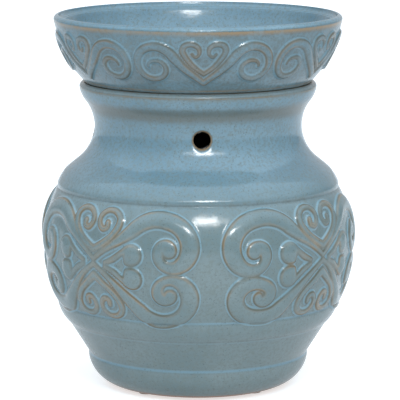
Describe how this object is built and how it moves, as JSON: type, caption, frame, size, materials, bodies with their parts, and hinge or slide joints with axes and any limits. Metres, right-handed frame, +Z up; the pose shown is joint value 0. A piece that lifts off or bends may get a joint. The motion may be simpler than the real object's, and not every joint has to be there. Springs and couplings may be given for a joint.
{
  "type": "wax melt warmer",
  "caption": "Ceramic wax melt warmer: a lift-off melt dish on a vase-shaped body with embossed scrolls, neck vents, and a small bulb in a lamp holder that heats the dish from below.",
  "frame": {"origin": "on the table under the foot pads, at the axis of the body", "axes": "+Z up along the axis of the body; the front vent, over a gap of the ornament, faces -Y and the cord grommet faces +Y"},
  "size_m": [0.1408, 0.1408, 0.1676],
  "materials": {
    "glaze": "glossy blue-grey reactive glaze that breaks brown on raised edges and pools pale blue in the creases",
    "rubber": "matt",
    "pad": "translucent soft pad",
    "zinc_steel": "zinc plated",
    "brass": "pressed, bright",
    "moulded_plastic": "black phenolic moulding",
    "cap_metal": "rolled thread sheet",
    "solder": "dull solder",
    "dark_glass": "black insulator glass",
    "clear_glass": "clear",
    "wire": "drawn wire"
  },
  "bodies": {
    "warmer": {"warmer_body": "glaze", "cushion_washers": "rubber", "steel_washers": "zinc_steel", "lock_nuts": "zinc_steel", "threaded_nipple": "zinc_steel", "holder_bracket": "zinc_steel", "holder_rivets": "brass", "holder_body": "moulded_plastic", "holder_terminal_screws": "brass", "holder_screw_shell": "brass", "holder_centre_contact": "brass", "cord_grommet": "rubber", "foot_pads": "pad"},
    "dish": {"melt_dish": "glaze"},
    "bulb": {"bulb_contact_tip": "solder", "bulb_cap_insulator": "dark_glass", "bulb_screw_cap": "cap_metal", "bulb_glass": "clear_glass", "bulb_stem": "clear_glass", "bulb_lead_wires": "wire", "bulb_filament": "wire"}
  },
  "joints": [
    {"name": "dish_lift", "type": "slide", "parent": "warmer", "child": "dish", "axis": [0, 0, 1], "range_m": [0, 0.1]},
    {"name": "bulb_unscrew", "type": "slide", "parent": "warmer", "child": "bulb", "axis": [0, 0, 1], "range_m": [0, 0.011]}
  ]
}
